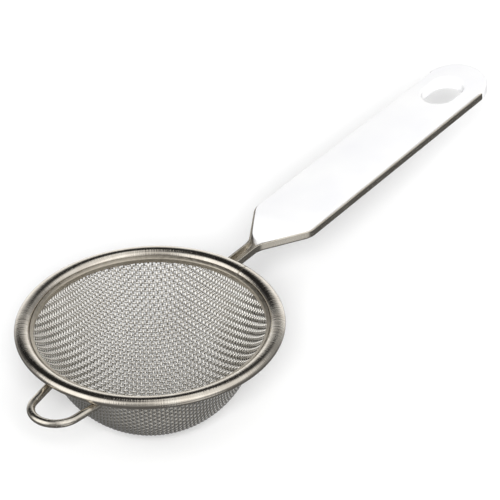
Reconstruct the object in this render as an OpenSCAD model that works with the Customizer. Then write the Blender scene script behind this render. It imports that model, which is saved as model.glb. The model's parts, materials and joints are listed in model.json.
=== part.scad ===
// Hand-held tea strainer: a woven wire bowl in a rolled steel rim, with a bent wire
// rest loop and a white grip inlaid in a pressed steel channel.
// The origin is the centre of the round mouth, at the upper end of its straight wall,
// which is level with the middle of the rolled bead.
// +Z points out of the mouth and +X runs along the handle.

/* [Rim] */
// Outside diameter of the rolled rim
rim_d = 70; // [55:1:100]
// Width of the rolled bead across its section
bead_w = 4; // [3.6:0.1:4.6]
// Height of the rolled bead
bead_h = 3.1; // [2.6:0.1:3.6]
// Thickness of the rim's sheet metal
rim_sheet = 0.35; // [0.3:0.05:0.5]
// Height of the straight collar that clamps the mesh
collar_h = 1.2; // [1:0.1:1.8]

/* [Basket] */
// Depth of the bowl below the mouth
bowl_depth = 28.3; // [22:0.1:32]
// Lean of the wall inwards from the vertical, above the round bottom
wall_lean = 28; // [15:1:32]
// Thickness of the woven mesh over both wires
mesh_t = 0.8; // [0.5:0.05:0.9]

/* [Rest loop] */
// Diameter of the loop's wire
loop_wire = 2.2; // [1.6:0.1:2.6]
// Reach of the loop past the rim's edge
loop_reach = 11.1; // [9:0.1:16]
// Radius of the loop's round end, at the middle of the wire
loop_r = 6.7; // [5:0.1:8]
// Angle by which each leg spreads towards the rim
loop_splay = 8; // [0:1:12]

/* [Handle] */
// Distance from the bowl's axis to the far end of the handle
handle_end = 143.3; // [120:0.1:170]
// Distance from the bowl's axis to the start of the flare
flare_start = 44.2; // [43:0.1:46]
// Distance from the bowl's axis to the widest point
flare_end = 57; // [55:0.1:62]
// Outside width of the neck
neck_w = 3.3; // [2.8:0.1:4]
// Outside width of the handle at its widest
handle_w = 19; // [18:0.1:22]
// Outside width of the handle where its round end starts
handle_end_w = 17.4; // [16.5:0.1:18]
// Height of the channel's edges above the middle of the rim
channel_rise = 0.5; // [0:0.1:1]
// Height of the steel channel
channel_h = 2.4; // [2:0.1:3]
// Thickness of the channel's sheet metal
channel_sheet = 0.5; // [0.4:0.05:0.6]
// Height of the grip's straight shoulders above the channel's edges
shoulder = 0.4; // [0.3:0.1:1]
// Rise of the grip's crown above its shoulders
crown = 0.9; // [0.6:0.1:1.5]

/* [Hanging hole] */
// Width of the hole
hole_w = 9.2; // [8:0.1:10]
// Length of the hole
hole_l = 13.2; // [12:0.1:16]
// Material between the hole and the handle's far end
hole_margin = 7.7; // [6:0.1:9]

/* [Hidden] */

$fn = 96;
section_fn = 32;      // points round the bead's section
cut = 1;              // how far cutting shapes run past what they cut

steel = "silver";
dark_steel = "dimgray";
plastic = "white";

// Rim, from the outside in
rim_r = rim_d / 2;
bead_r = rim_r - bead_w / 2;
lip_r = rim_r - bead_w;
mesh_r = lip_r + 0.15;
skirt_r = mesh_r + rim_sheet;
band_r = mesh_r - mesh_t;
mouth_r = band_r - rim_sheet;
lip_rise = 0.45;      // of the band's turned-out top edge
mesh_top = -0.22 * bead_h;
skirt_top = -0.15 * bead_h;

// Bowl: a cone that runs tangent into a round cap.
cone_h = bowl_depth - collar_h;
cap_r = (mesh_r - cone_h * tan(wall_lean))
    / (cos(wall_lean) - (1 - sin(wall_lean)) * tan(wall_lean));
cap_z = -bowl_depth + cap_r;
cap_steps = 24;

// Handle
channel_bottom = channel_rise - channel_h;
grip_top = channel_rise + shoulder + crown;
flare_angle = atan((handle_w - neck_w) / 2 / (flare_end - flare_start));
neck_bend_r = 6;
knee_bend_r = 6;
fit_gap = 0.1;        // between the grip and the channel's sides
flange_end = handle_end - handle_end_w / 2 + 0.6;
floor_inset = 1.3;    // of the channel's floor from the grip's round end
grip_start = flare_start + 1.2;
hole_x = handle_end - hole_margin - hole_l / 2;
collar_gap = 0.1;     // between the grip's hole collar and the channel's floor
collar_t = 1.2;
crown_r = (pow(handle_w / 2, 2) + pow(crown, 2)) / (2 * crown);

// Rest loop
loop_z = -(bead_h + loop_wire) / 2;
loop_x = -(rim_r + loop_reach - loop_r - loop_wire / 2);
leg_l = 12;
arc_overlap = 6;      // degrees by which the round end runs into each leg

// Arc that rounds the corner p1 between p0 and p2 with radius r
function rounded_corner(p0, p1, p2, r, steps = 8) =
    let (
        u = (p0 - p1) / norm(p0 - p1),
        v = (p2 - p1) / norm(p2 - p1),
        half = acos(u * v) / 2,
        centre = p1 + (u + v) / norm(u + v) * r / sin(half),
        start = p1 + u * r / tan(half) - centre,
        turn = (180 - 2 * half) * sign(u[0] * v[1] - u[1] * v[0])
    )
    [for (i = [0:steps])
        let (a = -turn * i / steps)
        centre + [start[0] * cos(a) - start[1] * sin(a), start[0] * sin(a) + start[1] * cos(a)]];

// Closed outline through points, each corner rounded by its own radius
function rounded_outline(points, radii) =
    let (n = len(points))
    [for (i = [0:n - 1])
        each radii[i] == 0
            ? [points[i]]
            : rounded_corner(points[(i + n - 1) % n], points[i], points[(i + 1) % n], radii[i])];

// Handle seen from above, drawn in by inset on every side but the start
module handle_plan(start, end, inset = 0) {
    shift = inset * tan(flare_angle / 2);
    neck = neck_w / 2 - inset;
    wide = handle_w / 2 - inset;
    tail = handle_end_w / 2 - inset;
    end_r = tail - 0.05;
    side = [
        [start, neck],
        [flare_start + shift, neck],
        [flare_end + shift, wide],
        [end, tail]
    ];
    other_side = [for (i = [len(side) - 1:-1:0]) [side[i][0], -side[i][1]]];
    polygon(rounded_outline(
        concat(side, other_side),
        [0, neck_bend_r + inset, knee_bend_r - inset, end_r,
         end_r, knee_bend_r - inset, neck_bend_r + inset, 0]
    ));
}

// Slot of the hanging hole, widened by grow on every side
module hole_slot(grow, bottom, top) {
    r = hole_w / 2 + grow;
    half_run = (hole_l - hole_w) / 2;
    translate([hole_x, 0, bottom]) {
        for (end = [-1, 1]) translate([end * half_run, 0, 0]) cylinder(r = r, h = top - bottom);
        translate([-half_run, -r, 0]) cube([2 * half_run, 2 * r, top - bottom]);
    }
}

// Section of the rolled bead, drawn in by inset
module bead_section(inset = 0) {
    polygon([for (i = [0:section_fn - 1])
        let (a = 360 * i / section_fn)
        [bead_r + (bead_w / 2 - inset) * cos(a), (bead_h / 2 - inset) * sin(a)]]);
}

// Everything that the rim fills, for cutting what is welded to it
module rim_envelope() {
    rotate_extrude() bead_section();
    depth = bead_h / 2 + channel_h + loop_wire;
    translate([0, 0, -depth]) cylinder(r = skirt_r, h = depth + channel_rise + cut);
}

// Side of the basket from its top edge to the middle of its bottom
function basket_side(inset) = concat(
    [[mesh_r - inset, mesh_top], [mesh_r - inset, -collar_h]],
    [for (i = [0:cap_steps])
        let (a = (90 - wall_lean) * (1 - i / cap_steps))
        [(cap_r - inset) * sin(a), cap_z - (cap_r - inset) * cos(a)]]
);

module rim_bead() {
    color(steel) rotate_extrude() {
        difference() {
            bead_section();
            bead_section(rim_sheet);
        }
        translate([mesh_r, -collar_h]) square([rim_sheet, collar_h + skirt_top]);
    }
}

module clamp_band() {
    color(dark_steel) rotate_extrude() polygon([
        [mouth_r, -collar_h],
        [band_r, -collar_h],
        [band_r, -lip_rise],
        [lip_r, -0.1],
        [lip_r, lip_rise],
        [(2 * mouth_r + lip_r) / 3, lip_rise / 2],
        [mouth_r, 0]
    ]);
}

module mesh_basket() {
    color(steel) rotate_extrude() {
        outer = basket_side(0);
        inner = basket_side(mesh_t);
        polygon(concat(outer, [for (i = [len(inner) - 1:-1:0]) inner[i]]));
    }
}

module rest_loop() {
    leg_turn = 90 + loop_splay;
    arc_turn = leg_turn - arc_overlap;
    color(steel) difference() {
        translate([loop_x, 0, loop_z]) {
            rotate([0, 0, arc_turn]) rotate_extrude(angle = 360 - 2 * arc_turn)
                translate([loop_r, 0]) circle(d = loop_wire, $fn = section_fn);
            for (side = [-1, 1])
                rotate([0, 0, side * leg_turn]) translate([loop_r, 0, 0])
                    rotate([side * 90, 0, 0]) cylinder(d = loop_wire, h = leg_l, $fn = section_fn);
        }
        rim_envelope();
    }
}

module handle_channel() {
    color(steel) difference() {
        translate([0, 0, channel_bottom]) linear_extrude(channel_h)
            handle_plan(skirt_r - cut, handle_end - floor_inset);
        translate([0, 0, channel_bottom + channel_sheet]) linear_extrude(channel_h)
            handle_plan(skirt_r - 2 * cut, handle_end + cut, channel_sheet);
        translate([flange_end, -handle_w, channel_bottom + channel_sheet])
            cube([handle_w, 2 * handle_w, channel_h]);
        hole_slot(collar_t + collar_gap, channel_bottom - cut, channel_rise);
        rim_envelope();
    }
}

// Handle's plan from one distance onwards
module handle_plan_from(from, inset = 0) {
    intersection() {
        handle_plan(skirt_r, handle_end, inset);
        translate([from, -handle_w]) square([handle_end, 2 * handle_w]);
    }
}

module handle_grip() {
    color(plastic) difference() {
        intersection() {
            union() {
                translate([0, 0, channel_bottom + channel_sheet])
                    linear_extrude(grip_top - channel_bottom) {
                        // Slab between the channel's sides
                        handle_plan_from(grip_start, channel_sheet + fit_gap);
                        // Round end, as wide as the channel outside
                        handle_plan_from(flange_end + fit_gap);
                    }
                hole_slot(collar_t, channel_bottom, channel_rise);
            }
            // Crown across the handle
            translate([0, 0, grip_top - crown_r]) rotate([0, 90, 0])
                cylinder(r = crown_r, h = handle_end + cut, $fn = 180);
        }
        hole_slot(0, channel_bottom - cut, grip_top + cut);
    }
}

rim_bead();
clamp_band();
mesh_basket();
rest_loop();
handle_channel();
handle_grip();
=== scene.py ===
"""Looks of a hand-held tea strainer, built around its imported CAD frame."""

import json
import math

import bmesh
import bpy
import numpy as np
from mathutils import Matrix, Vector


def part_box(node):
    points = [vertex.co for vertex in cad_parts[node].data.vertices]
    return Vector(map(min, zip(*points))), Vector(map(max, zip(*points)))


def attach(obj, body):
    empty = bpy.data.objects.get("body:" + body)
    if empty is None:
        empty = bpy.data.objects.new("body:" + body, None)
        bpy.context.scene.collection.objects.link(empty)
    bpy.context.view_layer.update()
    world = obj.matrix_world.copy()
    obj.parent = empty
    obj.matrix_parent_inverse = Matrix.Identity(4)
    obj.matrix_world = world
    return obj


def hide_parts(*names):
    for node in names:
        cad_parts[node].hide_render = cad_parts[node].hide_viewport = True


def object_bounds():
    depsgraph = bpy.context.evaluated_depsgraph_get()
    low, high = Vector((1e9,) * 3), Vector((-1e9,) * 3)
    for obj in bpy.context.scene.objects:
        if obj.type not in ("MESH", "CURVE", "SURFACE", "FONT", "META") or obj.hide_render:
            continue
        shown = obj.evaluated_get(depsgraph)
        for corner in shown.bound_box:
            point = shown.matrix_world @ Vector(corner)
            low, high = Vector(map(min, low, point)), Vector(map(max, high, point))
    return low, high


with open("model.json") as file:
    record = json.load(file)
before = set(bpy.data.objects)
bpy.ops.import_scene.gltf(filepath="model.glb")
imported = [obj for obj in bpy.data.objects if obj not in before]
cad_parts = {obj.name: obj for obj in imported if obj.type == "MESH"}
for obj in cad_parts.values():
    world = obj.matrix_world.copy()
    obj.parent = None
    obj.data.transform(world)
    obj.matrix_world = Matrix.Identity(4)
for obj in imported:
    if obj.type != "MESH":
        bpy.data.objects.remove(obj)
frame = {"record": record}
cad_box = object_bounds()

# Shapes are worked out in millimetres and made in metres.
MM = 0.001


def node_box(node):
    """Lowest and highest corner of a CAD node, in millimetres."""
    low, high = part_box(node)
    return np.array(low) / MM, np.array(high) / MM


MOUNTS = {m["name"]: m for m in frame["record"]["mounts"]}
_, rim_high = node_box("rim_bead")
band_low, band_high = node_box("clamp_band")
mesh_low, mesh_high = node_box("mesh_basket")
loop_low, loop_high = node_box("rest_loop")
channel_low, channel_high = node_box("handle_channel")
grip_low, grip_high = node_box("handle_grip")

# Rim, as lathed sections
RIM_R = rim_high[0]
RIM_TOP = rim_high[2]
SKIRT_BOTTOM = band_low[2]
BEAD_W = 4.0
BEAD_H = 3.1
BEAD_R = RIM_R - BEAD_W / 2
BEAD_Z = RIM_TOP - BEAD_H / 2
SHEET = 0.35
MESH_R = mesh_high[0]
SKIRT_R = MESH_R + SHEET
MOUTH_R = MOUNTS["mouth"]["dims"]["r_mm"]
LIP_R = band_high[0]
LIP_TOP = band_high[2]
# The strip's butt seam: its direction, and a shallow groove on either side of it. Each groove is
# given by where its near slope starts and ends and its far slope starts and ends, in radians.
SEAM = math.radians(-9.4)
SEAM_GROOVES = [(-0.0105, -0.0095, -0.0055, -0.0045), (0.0, 0.001, 0.0045, 0.0052)]
GROOVE_SCALE = 0.9

# Basket: a cone that runs tangent into a round cap
WALL_LEAN = math.radians(28)
MESH_T = 0.8
WIRE_D = 0.5
CRIMP = (MESH_T - WIRE_D) / 2
PITCH = 1.08
NET_AXIS = math.radians(-51)
WEAVE_TOP = -0.8
CONE_H = SKIRT_BOTTOM - mesh_low[2]
CAP_R = (MESH_R - CONE_H * math.tan(WALL_LEAN)) / (
    math.cos(WALL_LEAN) - (1 - math.sin(WALL_LEAN)) * math.tan(WALL_LEAN)
)
CAP_Z = mesh_low[2] + CAP_R
MID_R = CAP_R - MESH_T / 2
COLLAR_R = MESH_R - MESH_T / 2

# Rest loop
LOOP_WIRE = loop_high[2] - loop_low[2]
LOOP_R = 6.7
LOOP_SPLAY = math.radians(8)
LOOP_LEG = 8.4

# Handle
NECK_W = 3.3
FLARE_START = 44.2
FLARE_END = 57.0
FLARE_BEND_R = 6.0
HANDLE_W = channel_high[1] - channel_low[1]
TAIL_W = 17.4
HANDLE_END = grip_high[0]
CHANNEL_SHEET = 0.5
CHANNEL_TOP = channel_high[2]
CHANNEL_BOTTOM = channel_low[2]
FLOOR_TOP = CHANNEL_BOTTOM + CHANNEL_SHEET
FLOOR_INSET = HANDLE_END - channel_high[0]
FLANGE_END = HANDLE_END - TAIL_W / 2 + 0.6
GRIP_START = grip_low[0]
GRIP_GAP = 0.1
GRIP_SIDE_INSET = CHANNEL_SHEET + GRIP_GAP
CROWN_TOP = grip_high[2]
SHOULDER = 0.75
CROWN = CROWN_TOP - CHANNEL_TOP - SHOULDER
CROWN_R = ((HANDLE_W / 2) ** 2 + CROWN**2) / (2 * CROWN)

# Hanging hole: a slot whose mount is at the middle of its far round end
HOLE_R = MOUNTS["hanging_hole"]["dims"]["r_mm"]
HOLE_HALF_RUN = 2.0
HOLE_FAR = MOUNTS["hanging_hole"]["pos_m"][0] / MM
HOLE_NEAR = HOLE_FAR - 2 * HOLE_HALF_RUN
HOLE_COLLAR = 1.2


# ---------------------------------------------------------------- mesh helpers


def grid_faces(rows, columns, wrap_rows=False, wrap_columns=False, first=0):
    """Quads of a grid of points that is stored row by row."""
    i = np.arange(rows if wrap_rows else rows - 1)[:, None]
    j = np.arange(columns if wrap_columns else columns - 1)[None, :]
    i_next = (i + 1) % rows
    j_next = (j + 1) % columns
    quads = np.stack(
        [i * columns + j, i * columns + j_next, i_next * columns + j_next, i_next * columns + j],
        axis=-1,
    )
    return (quads.reshape(-1, 4) + first).tolist()


def make_piece(name, points, faces, material, nodes, sharp_deg=None, weld=None):
    """A piece in metres that rides on the body and stands for CAD nodes.

    Points no further apart than weld are merged, and edges sharper than sharp_deg stay sharp.
    """
    mesh = bpy.data.meshes.new(name)
    mesh.from_pydata((np.asarray(points) * MM).tolist(), [], faces)
    if weld:
        shape = bmesh.new()
        shape.from_mesh(mesh)
        bmesh.ops.remove_doubles(shape, verts=shape.verts, dist=weld * MM)
        bmesh.ops.recalc_face_normals(shape, faces=shape.faces)
        shape.to_mesh(mesh)
        shape.free()
    mesh.shade_smooth()
    if sharp_deg:
        mesh.set_sharp_from_angle(angle=math.radians(sharp_deg))
    mesh.materials.append(material)
    piece = bpy.data.objects.new(name, mesh)
    bpy.context.scene.collection.objects.link(piece)
    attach(piece, "root")
    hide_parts(*nodes)
    return piece


def lathe(section, azimuths):
    """Points and faces of a closed section turned round Z. Section is (radius, z)."""
    section = np.asarray(section)
    turn = np.asarray(azimuths)[:, None]
    points = np.stack(
        [section[:, 0] * np.cos(turn), section[:, 0] * np.sin(turn), section[:, 1] + 0 * turn],
        axis=-1,
    )
    faces = grid_faces(len(azimuths), len(section), wrap_rows=True, wrap_columns=True)
    return points.reshape(-1, 3), faces


def tube(path, radius, sides, normals):
    """Points and faces of a round tube along a path, with flat ends."""
    path = np.asarray(path)
    along = np.gradient(path, axis=0)
    along /= np.linalg.norm(along, axis=1)[:, None]
    sideways = np.cross(along, normals)
    sideways /= np.linalg.norm(sideways, axis=1)[:, None]
    upward = np.cross(sideways, along)
    turn = np.linspace(0, 2 * math.pi, sides, endpoint=False)
    cos, sin = np.cos(turn)[None, :, None], np.sin(turn)[None, :, None]
    points = path[:, None] + radius * (cos * sideways[:, None] + sin * upward[:, None])
    faces = grid_faces(len(path), sides, wrap_columns=True)
    last = (len(path) - 1) * sides
    faces.append(list(range(sides))[::-1])
    faces.append([last + k for k in range(sides)])
    return points.reshape(-1, 3), faces


def smooth_step(t):
    """Eases from 0 to 1 as t goes from 0 to 1."""
    t = np.clip(t, 0, 1)
    return t * t * (3 - 2 * t)


# ------------------------------------------------------------------- materials


# Noise values lie mostly between these two.
NOISE_LOW = 0.3
NOISE_HIGH = 0.7


def new_material(name, metallic=0.0):
    """A node material with its Principled shader, nodes and links."""
    material = bpy.data.materials.new(name)
    material.use_nodes = True
    nodes, links = material.node_tree.nodes, material.node_tree.links
    shader = nodes["Principled BSDF"]
    shader.inputs["Metallic"].default_value = metallic
    return material, shader, nodes, links


def connect(links, shader, colour, roughness, normal):
    """Links a material's colour, roughness and normal to its shader."""
    links.new(colour, shader.inputs["Base Color"])
    links.new(roughness, shader.inputs["Roughness"])
    links.new(normal, shader.inputs["Normal"])


def add_node(nodes, kind, **values):
    """A node with its properties and inputs set by name."""
    node = nodes.new(kind)
    for key, value in values.items():
        if key in node.inputs:
            node.inputs[key].default_value = value
        else:
            setattr(node, key, value)
    return node


def radial_coordinates(nodes, links):
    """Direction from the bowl's axis, so that marks run straight across the rim."""
    place = nodes.new("ShaderNodeTexCoord")
    flat = add_node(nodes, "ShaderNodeVectorMath", operation="MULTIPLY")
    flat.inputs[1].default_value = (1, 1, 0)
    unit = add_node(nodes, "ShaderNodeVectorMath", operation="NORMALIZE")
    links.new(place.outputs["Object"], flat.inputs[0])
    links.new(flat.outputs[0], unit.inputs[0])
    return unit.outputs[0]


def object_coordinates(nodes, links, stretch=(1, 1, 1)):
    """Object coordinates scaled along each axis."""
    place = nodes.new("ShaderNodeTexCoord")
    mapping = nodes.new("ShaderNodeMapping")
    mapping.inputs["Scale"].default_value = stretch
    links.new(place.outputs["Object"], mapping.inputs["Vector"])
    return mapping.outputs[0]


def noise(nodes, links, vector, scale, detail=2.0):
    """A noise texture's value output."""
    texture = add_node(nodes, "ShaderNodeTexNoise", Scale=scale, Detail=detail)
    links.new(vector, texture.inputs["Vector"])
    return texture.outputs["Fac"]


def ranged(nodes, links, value, source, target, interpolation="LINEAR"):
    """Maps a value from one range onto another."""
    node = add_node(nodes, "ShaderNodeMapRange", interpolation_type=interpolation)
    node.inputs["From Min"].default_value, node.inputs["From Max"].default_value = source
    node.inputs["To Min"].default_value, node.inputs["To Max"].default_value = target
    links.new(value, node.inputs["Value"])
    return node.outputs["Result"]


def spread(nodes, links, value, low, high):
    """Maps a noise value onto a range."""
    return ranged(nodes, links, value, (NOISE_LOW, NOISE_HIGH), (low, high))


def tint(nodes, links, value, dark, light):
    """A colour that runs from dark to light with a value."""
    ramp = nodes.new("ShaderNodeValToRGB")
    first, last = ramp.color_ramp.elements
    first.position, first.color = NOISE_LOW, (*dark, 1)
    last.position, last.color = NOISE_HIGH, (*light, 1)
    links.new(value, ramp.inputs["Fac"])
    return ramp.outputs["Color"]


def bump(nodes, links, height, strength, distance, below=None):
    """A bump node's normal output."""
    node = add_node(nodes, "ShaderNodeBump", Strength=strength, Distance=distance)
    links.new(height, node.inputs["Height"])
    if below is not None:
        links.new(below, node.inputs["Normal"])
    return node.outputs["Normal"]


def rim_steel():
    """Polished sheet, with fine marks across it from the rolling tool."""
    material, shader, nodes, links = new_material("rim_steel", metallic=1.0)
    radial = radial_coordinates(nodes, links)
    marks = noise(nodes, links, radial, 95.0, 3.0)
    patches = noise(nodes, links, radial, 9.0, 2.0)
    grain = noise(nodes, links, object_coordinates(nodes, links), 2600.0, 2.0)
    colour = tint(nodes, links, patches, (0.58, 0.53, 0.46), (0.68, 0.64, 0.57))
    roughness = spread(nodes, links, grain, 0.12, 0.19)
    ripples = bump(nodes, links, marks, 0.6, 0.00008)
    connect(links, shader, colour, roughness, bump(nodes, links, grain, 0.15, 0.00001, ripples))
    return material


def band_steel():
    """Dull sheet that has been squeezed round the mesh."""
    material, shader, nodes, links = new_material("band_steel", metallic=1.0)
    marks = noise(nodes, links, radial_coordinates(nodes, links), 60.0, 3.0)
    grain = noise(nodes, links, object_coordinates(nodes, links, (1, 1, 6)), 900.0, 3.0)
    colour = tint(nodes, links, grain, (0.42, 0.38, 0.31), (0.58, 0.53, 0.45))
    roughness = spread(nodes, links, grain, 0.32, 0.48)
    connect(links, shader, colour, roughness, bump(nodes, links, marks, 0.5, 0.00008))
    return material


def wire_steel():
    """Bright drawn wire of the mesh, with painted shade in the dips where the wires cross."""
    material, shader, nodes, links = new_material("mesh_wire", metallic=1.0)
    place = object_coordinates(nodes, links)
    patches = noise(nodes, links, place, 160.0, 2.0)
    grain = noise(nodes, links, place, 3000.0, 2.0)
    crest = add_node(nodes, "ShaderNodeAttribute", attribute_name="crest")
    # Painted shade: the wire's colour darkens towards grey-brown where it dips under a crossing, away
    # from the cloth's face.
    dip_shade = tint(nodes, links, crest.outputs["Fac"], (0.5, 0.48, 0.44), (1.0, 1.0, 1.0))
    bright = tint(nodes, links, patches, (0.88, 0.86, 0.82), (0.97, 0.96, 0.93))
    colour = add_node(nodes, "ShaderNodeVectorMath", operation="MULTIPLY")
    links.new(dip_shade, colour.inputs[0])
    links.new(bright, colour.inputs[1])
    roughness = spread(nodes, links, grain, 0.16, 0.26)
    connect(links, shader, colour.outputs[0], roughness, bump(nodes, links, grain, 0.2, 0.00001))
    return material


def loop_steel():
    """Polished wire with faint draw marks."""
    material, shader, nodes, links = new_material("loop_steel", metallic=1.0)
    grain = noise(nodes, links, object_coordinates(nodes, links), 1500.0, 3.0)
    colour = tint(nodes, links, grain, (0.56, 0.52, 0.45), (0.68, 0.64, 0.57))
    roughness = spread(nodes, links, grain, 0.16, 0.28)
    connect(links, shader, colour, roughness, bump(nodes, links, grain, 0.2, 0.00002))
    return material


def channel_steel():
    """Pressed sheet, brushed along the handle."""
    material, shader, nodes, links = new_material("channel_steel", metallic=1.0)
    brushed = noise(nodes, links, object_coordinates(nodes, links, (0.08, 1, 1)), 3500.0, 3.0)
    patches = noise(nodes, links, object_coordinates(nodes, links), 120.0, 2.0)
    colour = tint(nodes, links, patches, (0.52, 0.48, 0.41), (0.64, 0.60, 0.53))
    roughness = spread(nodes, links, brushed, 0.17, 0.30)
    connect(links, shader, colour, roughness, bump(nodes, links, brushed, 0.25, 0.00002))
    return material


def white_plastic():
    """Glossy moulded plastic with a faint flow mottle."""
    material, shader, nodes, links = new_material("white_grip")
    place = object_coordinates(nodes, links)
    mottle = noise(nodes, links, place, 70.0, 2.0)
    grain = noise(nodes, links, place, 900.0, 2.0)
    colour = tint(nodes, links, mottle, (0.775, 0.775, 0.79), (0.825, 0.825, 0.822))
    roughness = spread(nodes, links, grain, 0.16, 0.24)
    connect(links, shader, colour, roughness, bump(nodes, links, mottle, 0.25, 0.0002))
    return material


# ------------------------------------------------------------------------ rim


def rim_azimuths():
    """Directions of the lathed sections, closer together at the butt seam."""
    # Even steps start just past the seam's grooves, and the last would fall in one of them.
    even = np.linspace(0, 2 * math.pi, 480, endpoint=False) + SEAM + 0.006
    return np.sort(np.concatenate([even[:-1], SEAM + np.ravel(SEAM_GROOVES)]))


def in_groove(azimuth):
    """Whether a direction is on the floor of a groove beside the seam."""
    past = azimuth - SEAM
    return any(start - 1e-6 < past < end + 1e-6 for _, start, end, _ in SEAM_GROOVES)


def bead_point(turn):
    """Point of the rolled bead's section at an angle round its middle."""
    return BEAD_R + BEAD_W / 2 * math.cos(turn), BEAD_Z + BEAD_H / 2 * math.sin(turn)


def rolled_rim():
    """Skirt and rolled bead, with a fold where the rolled edge meets the skirt."""
    inner = SKIRT_R - SHEET
    round_end = 0.12
    skirt = [
        (inner, SKIRT_BOTTOM + round_end),
        (inner + round_end, SKIRT_BOTTOM),
        (SKIRT_R - round_end, SKIRT_BOTTOM),
        (SKIRT_R, SKIRT_BOTTOM + round_end),
        (SKIRT_R, -1.0),
        (SKIRT_R + 0.05, -0.8),
    ]
    # Round the outside, from below the inner side back to the fold
    bead = [bead_point(math.radians(a)) for a in np.linspace(226, 561, 64)]
    azimuths = rim_azimuths()
    points, faces = lathe(skirt + bead, azimuths)
    rings = points.reshape(len(azimuths), -1, 3)
    for ring, azimuth in zip(rings, azimuths):
        if in_groove(azimuth):
            middle = np.array([BEAD_R * math.cos(azimuth), BEAD_R * math.sin(azimuth), BEAD_Z])
            ring[len(skirt):] = middle + (ring[len(skirt):] - middle) * GROOVE_SCALE
    return make_piece(
        "rolled_rim", points, faces, rim_steel(), ["rim_bead"], sharp_deg=50,
    )


def clamp_ring():
    """Inner band that clamps the mesh, with its top edge turned outwards."""
    outside = MOUTH_R + SHEET
    edge = 0.15
    lip = LIP_R - edge
    # Up the inner face, out along the lip, round its edge and down the outer face
    section = [(MOUTH_R, z) for z in np.linspace(SKIRT_BOTTOM + 0.05, -edge, 5)]
    for t in np.linspace(0, 1, 9)[1:]:
        section.append((MOUTH_R + (lip - MOUTH_R) * t**1.6, -0.1 + (LIP_TOP + 0.1) * t))
    section += [(lip + 0.1, LIP_TOP - 0.06), (lip + 0.13, LIP_TOP - 0.2)]
    section += [(LIP_R - 0.03, 0.0), (LIP_R - 0.03, -0.1), (outside + 0.02, -LIP_TOP)]
    section += [(outside, z) for z in np.linspace(-LIP_TOP - 0.1, SKIRT_BOTTOM + 0.05, 3)]
    section += [(MOUTH_R + SHEET / 2, SKIRT_BOTTOM)]
    points, faces = lathe(section, rim_azimuths())
    return make_piece(
        "clamp_ring", points, faces, band_steel(), ["clamp_band"], sharp_deg=50,
    )


# ----------------------------------------------------------------------- mesh


# The cloth is laid as a net of crossings, this many pitches out from the middle of the bottom.
NET_COUNT = 43
# Height that the net may reach before it is trimmed, and how far its squares may shear, as the
# length of a diagonal over the pitch
NET_TOP = 2.5
SHEAR_LIMIT = 1.98
# Rounds and tolerance of the steps that move a crossing into place
ROUNDS = 12
CLOSE = 1e-9
WIRE_SIDES = 6
WIRE_STEPS = 4


def basket_distance(p):
    """Signed distance from the middle of the mesh, and the outward normal there."""
    radius = math.hypot(p[0], p[1])
    out = np.array([1.0, 0, 0])
    if radius > CLOSE:
        out = np.array([p[0] / radius, p[1] / radius, 0.0])
    if radius > COLLAR_R - CLOSE and p[2] > SKIRT_BOTTOM:
        return radius - COLLAR_R, out
    from_cap = p - np.array([0, 0, CAP_Z])
    reach = np.linalg.norm(from_cap)
    lean = math.atan2(radius, -from_cap[2])
    if lean <= math.pi / 2 - WALL_LEAN:
        return reach - MID_R, from_cap / reach
    slope = math.cos(WALL_LEAN) * out + np.array([0, 0, -math.sin(WALL_LEAN)])
    cone = float(from_cap @ slope) - MID_R
    if radius - COLLAR_R > cone:
        return radius - COLLAR_R, out
    return cone, slope


def settle(p, near, other):
    """Moves p onto the basket, one pitch from both of its neighbours."""
    for _ in range(ROUNDS):
        gap, normal = basket_distance(p)
        to_near, to_other = p - near, p - other
        error = np.array([to_near @ to_near - PITCH**2, to_other @ to_other - PITCH**2, gap])
        if np.abs(error).max() < CLOSE:
            break
        slope = np.array([2 * to_near, 2 * to_other, normal])
        p = p - np.clip(np.linalg.lstsq(slope, error, rcond=None)[0], -0.4, 0.4)
    return p


def first_wire(count):
    """Crossings along the wire that runs through the middle of the bottom."""
    row = [np.array([0.0, 0.0, CAP_Z - MID_R])]
    heading = np.array([PITCH, 0.0, 0.0])
    for _ in range(count):
        p = row[-1] + heading
        for _ in range(ROUNDS):
            gap, normal = basket_distance(p)
            p = p - gap * normal
            step = p - row[-1]
            p = row[-1] + step * PITCH / np.linalg.norm(step)
        heading = p - row[-1]
        row.append(p)
    return row


def quarter_net(count):
    """A quarter of the crossings of the two sets of wires.

    All neighbours are one pitch apart, as in draped cloth. A crossing outside the basket is NaN.
    """
    row = first_wire(count)
    net = np.full((count + 1, count + 1, 3), np.nan)
    net[:, 0] = row
    net[0, :] = [(-p[1], p[0], p[2]) for p in row]
    for i in range(1, count + 1):
        for j in range(1, count + 1):
            near, other, back = net[i - 1, j], net[i, j - 1], net[i - 1, j - 1]
            if np.isnan(near[0]) or np.isnan(other[0]) or max(near[2], other[2]) > NET_TOP:
                continue
            if np.linalg.norm(near - other) > SHEAR_LIMIT * PITCH:
                continue
            net[i, j] = settle(near + other - back, near, other)
    return net


def full_net(count):
    """The net over the whole basket, from one quarter turned four times."""
    quarter = quarter_net(count)
    whole = np.full((2 * count + 1, 2 * count + 1, 3), np.nan)
    for a, b, c, d in ((1, 0, 0, 1), (0, -1, 1, 0), (-1, 0, 0, -1), (0, 1, -1, 0)):
        for i, j in np.ndindex(count + 1, count + 1):
            x, y, z = quarter[i, j]
            whole[count + a * i + b * j, count + c * i + d * j] = (a * x + b * y, c * x + d * y, z)
    cos, sin = math.cos(NET_AXIS), math.sin(NET_AXIS)
    turned = whole.copy()
    turned[..., 0] = cos * whole[..., 0] - sin * whole[..., 1]
    turned[..., 1] = sin * whole[..., 0] + cos * whole[..., 1]
    return turned


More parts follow.
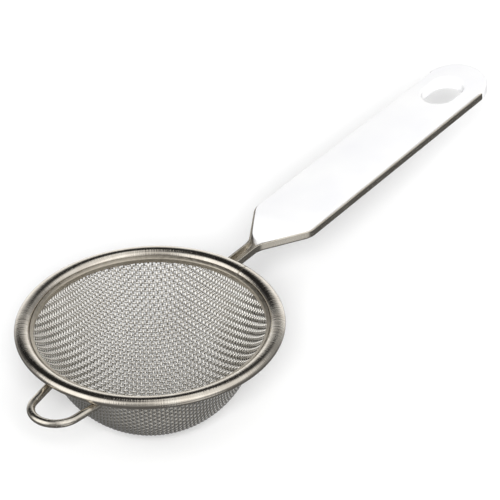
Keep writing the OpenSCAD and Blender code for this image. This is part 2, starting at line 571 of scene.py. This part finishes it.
def curve_through(points, steps):
    """Catmull-Rom curve through points, steps to a stretch."""
    p = np.vstack([2 * points[0] - points[1], points, 2 * points[-1] - points[-2]])
    t = (np.arange(steps) / steps)[None, :, None]
    a, b, c, d = p[:-3, None], p[1:-2, None], p[2:-1, None], p[3:, None]
    square = (2 * a - 5 * b + 4 * c - d) * t**2
    cube = (3 * b - a - 3 * c + d) * t**3
    line = 0.5 * (2 * b + (c - a) * t + square + cube)
    return np.vstack([line.reshape(-1, points.shape[1]), points[-1:]])


def trimmed_run(line):
    """Indices of a wire's crossings below the clamp band, or None where too few are left."""
    below = np.nonzero(line[:, 2] < WEAVE_TOP)[0]
    if len(below) < 4 or line[below, 2].min() > SKIRT_BOTTOM - 0.3:
        return None
    run = np.arange(below[0], below[-1] + 1)
    return None if np.isnan(line[run, 0]).any() else run


def woven_wire(line, normals, sides):
    """Points and faces of a wire that passes each crossing on the given side of the cloth.

    Also returns how near each point is to the cloth's face, from 0 in the middle to 1.
    """
    crimp = sides[:, None] * CRIMP
    path = curve_through(np.hstack([line + crimp * normals, normals, crimp]), WIRE_STEPS)
    middle, outward, height = path[:, :3], path[:, 3:6], path[:, 6:]
    points, faces = tube(middle, WIRE_D / 2, WIRE_SIDES, outward)
    proud = (points.reshape(len(path), WIRE_SIDES, 3) - middle[:, None]) @ outward[..., None]
    return points, faces, np.abs(proud[..., 0] + height).ravel() / (MESH_T / 2)


def wire_piece(name, lines, normals, sides, material):
    """A piece of neighbouring wires, with their crests marked for the material's painted shade in the
    dips.
    """
    all_points, all_faces, crests = [], [], []
    total = 0
    for line, line_normals, line_sides in zip(lines, normals, sides):
        run = trimmed_run(line)
        if run is None:
            continue
        points, faces, crest = woven_wire(line[run], line_normals[run], line_sides[run])
        all_points.append(points)
        all_faces += [[v + total for v in face] for face in faces]
        crests.append(crest)
        total += len(points)
    piece = make_piece(
        name, np.vstack(all_points), all_faces, material, ["mesh_basket"], sharp_deg=60,
    )
    # These crest values drive the painted shade in the dips of the wire material.
    mark = piece.data.attributes.new("crest", "FLOAT", "POINT")
    mark.data.foreach_set("value", np.concatenate(crests).astype(np.float32))


def mesh_wires():
    """The woven basket: two crossing sets of wires, each in two pieces."""
    net = full_net(NET_COUNT)
    size = len(net)
    normals = np.full_like(net, np.nan)
    for i, j in np.ndindex(size, size):
        if not np.isnan(net[i, j, 0]):
            normals[i, j] = basket_distance(net[i, j])[1]
    index = np.arange(size)
    sides = np.where(np.add.outer(index, index) % 2 == 0, 1.0, -1.0)
    wire_sets = {
        "warp": (net, normals, sides),
        "weft": (net.transpose(1, 0, 2), normals.transpose(1, 0, 2), -sides),
    }
    halves = {"left": slice(0, NET_COUNT), "right": slice(NET_COUNT, size)}
    material = wire_steel()
    for set_name, wires in wire_sets.items():
        for half_name, rows in halves.items():
            piece_wires = [part[rows] for part in wires]
            wire_piece(f"mesh_{set_name}_{half_name}", *piece_wires, material)


# ------------------------------------------------------------------------ loop


def rest_loop():
    """Bent wire under the rim, opposite the handle."""
    centre_x = loop_low[0] + LOOP_R + LOOP_WIRE / 2
    z = (loop_low[2] + loop_high[2]) / 2
    turn = math.pi / 2 + LOOP_SPLAY
    arc = np.linspace(turn, 2 * math.pi - turn, 73)
    bend = np.stack([centre_x + LOOP_R * np.cos(arc), LOOP_R * np.sin(arc), z + 0 * arc], axis=1)
    heading = np.array([math.sin(turn), -math.cos(turn), 0])
    leg = bend[0] + np.linspace(LOOP_LEG, 0.3, 24)[:, None] * heading
    other_leg = leg[::-1] * np.array([1, -1, 1])
    path = np.vstack([leg, bend, other_leg])
    upward = np.tile([0.0, 0.0, 1.0], (len(path), 1))
    points, faces = tube(path, LOOP_WIRE / 2, 24, upward)
    return make_piece(
        "rest_loop_wire", points, faces, loop_steel(), ["rest_loop"], sharp_deg=60,
    )


# ---------------------------------------------------------------------- handle


def rounded_corner(before, corner, after, radius, steps=24):
    """Arc that rounds a corner of an outline."""
    before, corner, after = (np.array(p, float) for p in (before, corner, after))
    u = (before - corner) / np.linalg.norm(before - corner)
    v = (after - corner) / np.linalg.norm(after - corner)
    half = math.acos(float(u @ v)) / 2
    centre = corner + (u + v) / np.linalg.norm(u + v) * radius / math.sin(half)
    start = corner + u * radius / math.tan(half) - centre
    turn = -(math.pi - 2 * half) * math.copysign(1, u[0] * v[1] - u[1] * v[0])
    angles = np.linspace(0, turn, steps)
    return [
        centre + np.array([
            start[0] * math.cos(a) - start[1] * math.sin(a),
            start[0] * math.sin(a) + start[1] * math.cos(a),
        ])
        for a in angles
    ]


def handle_side():
    """Half of the handle's outline from the rim to its tip, and its length up to each point."""
    tail = TAIL_W / 2
    corners = [
        (SKIRT_R, NECK_W / 2),
        (FLARE_START, NECK_W / 2),
        (FLARE_END, HANDLE_W / 2),
        (HANDLE_END, tail),
        (HANDLE_END, 0),
    ]
    radii = [0, FLARE_BEND_R, FLARE_BEND_R, tail - 0.05, 0]
    outline = [np.array(corners[0], float)]
    for k in (1, 2, 3):
        outline += rounded_corner(corners[k - 1], corners[k], corners[k + 1], radii[k])
    outline.append(np.array(corners[4], float))
    outline = np.array(outline)
    steps = np.linalg.norm(np.diff(outline, axis=0), axis=1)
    length = np.concatenate([[0], np.cumsum(steps)])
    distinct = np.concatenate([[True], np.diff(length) > 1e-6])
    outline, length = outline[distinct], length[distinct]
    fine = np.append(np.arange(0, length[-1], 0.1), length[-1])
    return fine, np.stack([np.interp(fine, length, outline[:, k]) for k in (0, 1)], axis=1)


SIDE_LENGTH, SIDE = handle_side()


def across(line):
    """Unit normals of a line in the plane, to its left."""
    along = np.gradient(line, axis=0)
    normals = np.stack([-along[:, 1], along[:, 0]], axis=1)
    return normals / np.linalg.norm(normals, axis=1)[:, None]


def at_x(x, values):
    """Values that go with the outline, at a distance along the handle."""
    return np.stack([np.interp(x, SIDE[:, 0], values[:, k]) for k in (0, 1)], axis=-1)


def at_length(length, values):
    """Values that go with the outline, at a length along it."""
    return np.stack([np.interp(length, SIDE_LENGTH, values[:, k]) for k in (0, 1)], axis=1)


def quarter_turn(start, end, count):
    """Directions from one angle to another, and the angles."""
    turn = np.linspace(start, end, count)
    return np.stack([np.cos(turn), np.sin(turn)], axis=1), turn


def handle_rays(start, hole_grow, stations):
    """Pairs of an outline point and the inner point it faces, from the start to the tip.

    Up to the hole the inner points lie on the middle line, and then on the hole's edge.
    Returns outer points, outer normals, inner points, inner normals and the number of pairs
    before the hole.
    """
    normals = across(SIDE)
    normals[-1] = (1, 0)
    radius = HOLE_R + hole_grow
    plain = np.array([x for x in stations if start <= x < HOLE_NEAR - radius])
    near_ring, _ = quarter_turn(math.pi, math.pi / 2, 25)
    near_edge = np.array([HOLE_NEAR, 0]) + radius * near_ring
    run = np.linspace(HOLE_NEAR, HOLE_FAR, 5)[1:-1]
    far_ring, turn = quarter_turn(math.pi / 2, 0, 61)
    far_edge = np.array([HOLE_FAR, 0]) + radius * far_ring

    along = np.concatenate([plain, near_edge[:, 0], run])
    far_length = np.interp(HOLE_FAR, SIDE[:, 0], SIDE_LENGTH)
    length = far_length + (SIDE_LENGTH[-1] - far_length) * (1 - turn / (math.pi / 2))
    outer = np.vstack([at_x(along, SIDE), at_length(length, SIDE)])
    outer_n = np.vstack([at_x(along, normals), at_length(length, normals)])
    inner = np.vstack([
        np.stack([plain, 0 * plain], axis=1),
        near_edge,
        np.stack([run, 0 * run + radius], axis=1),
        far_edge,
    ])
    inner_n = np.vstack([
        np.zeros((len(plain), 2)),
        near_ring,
        np.tile([0.0, 1.0], (len(run), 1)),
        far_ring,
    ])
    return outer, outer_n, inner, inner_n, len(plain)


def mirrored(points, faces):
    """A half shape and its mirror image across the handle's middle plane."""
    other = points * np.array([1, -1, 1])
    other_faces = [[v + len(points) for v in reversed(face)] for face in faces]
    return np.vstack([points, other]), faces + other_faces


def rim_cope(points):
    """Moves the neck's first points onto the rim: into the bead, or against the skirt below it."""
    y, z = points[:, 1], points[:, 2]
    from_middle = (z - BEAD_Z) / (BEAD_H / 2)
    bead_reach = BEAD_R + BEAD_W / 2 * np.sqrt(np.clip(1 - from_middle**2, 0, 1)) - 0.12
    reach = np.where(z > BEAD_Z - BEAD_H / 2 + 0.02, bead_reach, SKIRT_R + 0.02)
    points[:, 0] = np.maximum(SKIRT_R, np.sqrt(reach**2 - y**2))
    return points


def channel_section():
    """Section of the channel's side, as (inset from the outline, z), from below to the floor."""
    bend_out, bend_in = 0.75, 0.25
    edge = 0.1
    turn = np.linspace(math.pi / 2, 0, 6)
    low_z, high_z = CHANNEL_BOTTOM + bend_out, FLOOR_TOP + bend_in
    low = [(bend_out * (1 - math.cos(a)), low_z - bend_out * math.sin(a)) for a in turn]
    wall = [(0.0, z) for z in np.linspace(low_z + 0.15, CHANNEL_TOP - edge, 6)]
    lip = [(edge, CHANNEL_TOP), (CHANNEL_SHEET - edge, CHANNEL_TOP)]
    inside = [(CHANNEL_SHEET, z) for z in np.linspace(CHANNEL_TOP - edge, high_z + 0.1, 6)]
    high = [
        (CHANNEL_SHEET + bend_in * (1 - math.cos(a)), high_z - bend_in * math.sin(a))
        for a in turn[::-1]
    ]
    return np.array(low + wall + lip + inside + high)


def pressed_channel():
    """U-shaped steel channel with bent-up sides, a floor and a slot in its round end."""
    section = channel_section()
    stations = np.concatenate([
        np.arange(SKIRT_R, FLARE_START - 2, 0.9),
        np.arange(FLARE_START - 2, FLARE_END + 5, 0.45),
        np.arange(FLARE_END + 5, HANDLE_END, 2.0),
    ])
    *rays, plain_count = handle_rays(SKIRT_R, HOLE_COLLAR + GRIP_GAP, stations)
    # The sides end square at the cut, and the floor alone goes on from there.
    cut = int(np.searchsorted(rays[0][:, 0], FLANGE_END))
    outer, outer_n, inner, _ = (np.insert(part, cut, part[cut], axis=0) for part in rays)
    rows = []
    for k in range(len(outer)):
        inset, z = section[:, 0], section[:, 1]
        if k > cut:
            inset, z = np.maximum(inset, FLOOR_INSET), np.minimum(z, FLOOR_TOP)
        place = outer[k] - inset[:, None] * outer_n[k]
        place[:, 1] = np.maximum(place[:, 1], 0)
        first = (*inner[k], CHANNEL_BOTTOM)
        last = (*inner[k], FLOOR_TOP)
        rows.append(np.vstack([first, np.column_stack([place, z]), last]))
    rows[0] = rim_cope(rows[0])
    columns = len(rows[0])
    faces = grid_faces(len(rows), columns)
    # The slot's wall, and then the end at the rim
    for k in range(plain_count, len(rows) - 1):
        a, b = k * columns, (k + 1) * columns
        faces.append([a + columns - 1, a, b, b + columns - 1])
    faces.append(list(range(columns)))
    points, faces = mirrored(np.vstack(rows), faces)
    return make_piece(
        "pressed_channel", points, faces, channel_steel(), ["handle_channel"],
        sharp_deg=40, weld=0.0005,
    )


# The grip's top falls away by this much over this length at its front tip, which is rounded
# over its first stretch.
FRONT_DROP = 1.15
FRONT_FALL = 11.0
NOSE = 2.2
# Rounding of the grip's top edge: where it lies between the channel's sides, where it is as
# wide as the channel, and round the hole
INLAID_FILLET = 0.3
OPEN_FILLET = 0.7
HOLE_LIP = 0.55


def crown_height(x, y):
    """Height of the grip's top, which falls away towards its front tip."""
    across_height = CROWN_TOP - CROWN_R + np.sqrt(CROWN_R**2 - y**2)
    front = 1 - smooth_step((x - GRIP_START) / FRONT_FALL)
    return across_height - FRONT_DROP * front**1.5


def grip_edges(outer, outer_n, cut):
    """The grip's own outline and its normals. Up to the cut it lies between the channel's sides."""
    inset = np.where(np.arange(len(outer)) >= cut, 0.0, GRIP_SIDE_INSET)[:, None]
    edges = outer - inset * outer_n
    from_tip = np.clip((edges[:, 0] - edges[0, 0]) / NOSE, 0, 1)
    edges[:, 1] *= np.sqrt(1 - (1 - from_tip) ** 2)
    normals = across(edges)
    # At the step in the outline the handle's own normals hold.
    step = slice(cut - 2, cut + 2)
    normals[step] = outer_n[step]
    normals[0], normals[-1] = (-1, 0), (1, 0)
    return edges, normals


def grip_top_row(edge, normal, fillet, end):
    """Points up the grip's side, round its top edge and over its crown to the end."""
    shoulder = edge - fillet * normal
    shoulder[1] = max(shoulder[1], 0)
    top = crown_height(*shoulder)
    row = [(*edge, z) for z in np.linspace(FLOOR_TOP, top - fillet, 4)]
    for a in np.linspace(0, math.pi / 2, 7)[1:]:
        p = edge - fillet * (1 - math.cos(a)) * normal
        row.append((p[0], max(p[1], 0), top - fillet + fillet * math.sin(a)))
    for t in np.linspace(0, 1, 14)[1:]:
        p = shoulder + (end - shoulder) * t
        row.append((*p, crown_height(*p)))
    return row


def grip_hole_row(ring, out):
    """Points from the crown over the hole's lip, down its wall and round the collar below."""
    high = crown_height(*(ring + HOLE_LIP * out))
    row = []
    for a in np.linspace(0, math.pi / 2, 7):
        p = ring + HOLE_LIP * (1 - math.sin(a)) * out
        row.append((*p, high - HOLE_LIP * (1 - math.cos(a))))
    edge = 0.15
    row += [(*ring, z) for z in np.linspace(high - HOLE_LIP, CHANNEL_BOTTOM + edge, 4)[1:]]
    row.append((*(ring + edge * out), CHANNEL_BOTTOM))
    collar = ring + HOLE_COLLAR * out
    return row + [(*collar, CHANNEL_BOTTOM), (*collar, FLOOR_TOP)]


def grip():
    """White inlay of the handle, crowned across, with a rounded lip and a collar at the hole."""
    stations = np.concatenate([
        GRIP_START + 1.4 * np.linspace(0, 1, 9) ** 2,
        np.arange(GRIP_START + 1.8, FLARE_END + 5, 0.5),
        np.arange(FLARE_END + 5, HANDLE_END, 1.5),
    ])
    outer, outer_n, inner, inner_n, plain_count = handle_rays(GRIP_START, 0, stations)
    cut = int(np.searchsorted(outer[:, 0], FLANGE_END))
    edges, normals = grip_edges(outer, outer_n, cut)
    collar_x = HOLE_NEAR - HOLE_R - HOLE_COLLAR
    top_rows, hole_rows, bottom_rows = [], [], []
    for k, edge in enumerate(edges):
        fillet = OPEN_FILLET if k >= cut else INLAID_FILLET
        if k < plain_count:
            end = np.array([max(edge[0] - fillet * normals[k, 0], 0), 0.0])
            under = (min(end[0], collar_x), 0)
        else:
            end = inner[k] + HOLE_LIP * inner_n[k]
            under = inner[k] + HOLE_COLLAR * inner_n[k]
            hole_rows.append(grip_hole_row(inner[k], inner_n[k]))
        top_rows.append(grip_top_row(edge, normals[k], fillet, end))
        bottom_rows.append([(*edge, FLOOR_TOP), (*under, FLOOR_TOP)])
    points, faces = [], []
    for rows in (top_rows, hole_rows, bottom_rows):
        faces += grid_faces(len(rows), len(rows[0]), first=len(points))
        points += [p for row in rows for p in row]
    points, faces = mirrored(np.array(points), faces)
    return make_piece(
        "grip_inlay", points, faces, white_plastic(), ["handle_grip"],
        sharp_deg=50, weld=0.0005,
    )


# --------------------------------------------------------------- floor, lights


def floor():
    """Plain pale floor under the bowl."""
    half = 2.5
    low = cad_box[0].z
    mesh = bpy.data.meshes.new("floor")
    corners = [(-half, -half, low), (half, -half, low), (half, half, low), (-half, half, low)]
    mesh.from_pydata(corners, [], [(0, 1, 2, 3)])
    material, shader, _, _ = new_material("floor")
    shader.inputs["Base Color"].default_value = (0.93, 0.93, 0.93, 1)
    shader.inputs["Roughness"].default_value = 0.8
    mesh.materials.append(material)
    ground = bpy.data.objects.new("floor", mesh)
    bpy.context.scene.collection.objects.link(ground)
    ground.visible_glossy = False


# Soft panels of the studio: azimuth and elevation in degrees, half-width in degrees, brightness.
# Azimuth 0 is straight ahead of the camera, and positive is to its right. A panel of negative
# brightness is a dark card, which takes light away from what the others give.
PANELS = [
    (-113, 26, 32, 1.25),
    (118, 44, 34, 0.75),
    (155, 22, 24, 0.55),
    (178, 54, 22, 0.4),
    (5, -8, 38, 1.0),
    (50, 80, 12, 0.9),
    (142, -35, 17, 1.3),
    (180, 33, 9, -0.3),
    (-12, 62, 36, -0.3),
    (-55, 32, 28, -0.26),
]
AHEAD_AZIMUTH = math.radians(38.7)
BASE_LIGHT = 0.33
LEAST_LIGHT = 0.02
# Light from well below the horizon, and what matt surfaces get, as parts of the full light
LOW_SHARE = 0.45
MATT_SHARE = 0.95


def combined(nodes, links, operation, value, other):
    """A maths node's output for a value and a second value or number."""
    node = add_node(nodes, "ShaderNodeMath", operation=operation)
    links.new(value, node.inputs[0])
    if isinstance(other, float):
        node.inputs[1].default_value = other
    else:
        links.new(other, node.inputs[1])
    return node.outputs[0]


def studio_panel(nodes, links, place, azimuth, elevation, half_width, brightness):
    """Light of one round panel with a soft edge."""
    turn, rise = AHEAD_AZIMUTH - math.radians(azimuth), math.radians(elevation)
    level = math.cos(rise)
    facing = add_node(nodes, "ShaderNodeVectorMath", operation="DOT_PRODUCT")
    facing.inputs[1].default_value = (math.cos(turn) * level, math.sin(turn) * level, math.sin(rise))
    links.new(place, facing.inputs[0])
    edge = [math.cos(math.radians(half_width * part)) for part in (1.35, 0.65)]
    return ranged(nodes, links, facing.outputs["Value"], edge, (0.0, brightness), "SMOOTHSTEP")


def world_light():
    """Grey studio with soft bright panels, which the steel mirrors."""
    world = bpy.data.worlds.new("studio")
    world.use_nodes = True
    nodes, links = world.node_tree.nodes, world.node_tree.links
    place = nodes.new("ShaderNodeTexCoord").outputs["Generated"]
    total = BASE_LIGHT
    for panel in PANELS:
        total = combined(nodes, links, "ADD", studio_panel(nodes, links, place, *panel), total)
    lit = combined(nodes, links, "MAXIMUM", total, LEAST_LIGHT)
    split = nodes.new("ShaderNodeSeparateXYZ")
    links.new(place, split.inputs[0])
    height = split.outputs["Z"]
    low = ranged(nodes, links, height, (-0.45, -0.05), (LOW_SHARE, 1.0), "SMOOTHSTEP")
    path = nodes.new("ShaderNodeLightPath")
    matt = ranged(nodes, links, path.outputs["Is Diffuse Ray"], (0.0, 1.0), (1.0, MATT_SHARE))
    shaded = combined(nodes, links, "MULTIPLY", lit, low)
    strength = combined(nodes, links, "MULTIPLY", shaded, matt)
    background = nodes["Background"]
    background.inputs["Color"].default_value = (1, 1, 1, 1)
    links.new(strength, background.inputs["Strength"])
    bpy.context.scene.world = world


def front_light():
    """Broad light from the front that whitens the floor and the grip, with no glints on the steel."""
    data = bpy.data.lights.new("front_light", "SUN")
    data.energy = 3.2
    data.angle = math.radians(22)
    lamp = bpy.data.objects.new("front_light", data)
    *_, turn = view_axes()
    lamp.matrix_world = turn
    lamp.visible_glossy = False
    bpy.context.scene.collection.objects.link(lamp)


# ---------------------------------------------------------------------- camera


# Direction of the view, in degrees, and where the view's middle is from the middle of the bead
VIEW_AZIMUTH = -51.3
VIEW_ELEVATION = 35.06
VIEW_ROLL = -2.61
AIM_RIGHT = 0.02661
AIM_UP = 0.01837
EYE_DISTANCE = 1.5
LENS = 420.1


def view_axes():
    """The camera's right, up and ahead directions before its roll, and its turn as a matrix."""
    azimuth, elevation, roll = (math.radians(a) for a in (VIEW_AZIMUTH, VIEW_ELEVATION, VIEW_ROLL))
    right = Vector((math.cos(azimuth), math.sin(azimuth), 0))
    ahead = Vector((
        -math.sin(azimuth) * math.cos(elevation),
        math.cos(azimuth) * math.cos(elevation),
        -math.sin(elevation),
    ))
    up = right.cross(ahead)
    rolled_right = right * math.cos(roll) + up * math.sin(roll)
    rolled_up = up * math.cos(roll) - right * math.sin(roll)
    turn = Matrix((rolled_right, rolled_up, -ahead)).transposed().to_4x4()
    return right, up, ahead, turn


def camera():
    """Long lens from above and beside the bowl."""
    right, up, ahead, turn = view_axes()
    target = Vector((0, 0, BEAD_Z * MM)) + right * AIM_RIGHT + up * AIM_UP
    data = bpy.data.cameras.new("camera")
    data.lens = LENS
    data.sensor_width = 36
    data.clip_start = 0.01
    data.clip_end = 20
    eye = bpy.data.objects.new("camera", data)
    eye.matrix_world = Matrix.Translation(target - ahead * EYE_DISTANCE) @ turn
    bpy.context.scene.collection.objects.link(eye)
    bpy.context.scene.camera = eye


camera()
world_light()
front_light()
floor()
rolled_rim()
clamp_ring()
mesh_wires()
rest_loop()
pressed_channel()
grip()
bpy.context.scene.view_settings.view_transform = "Standard"
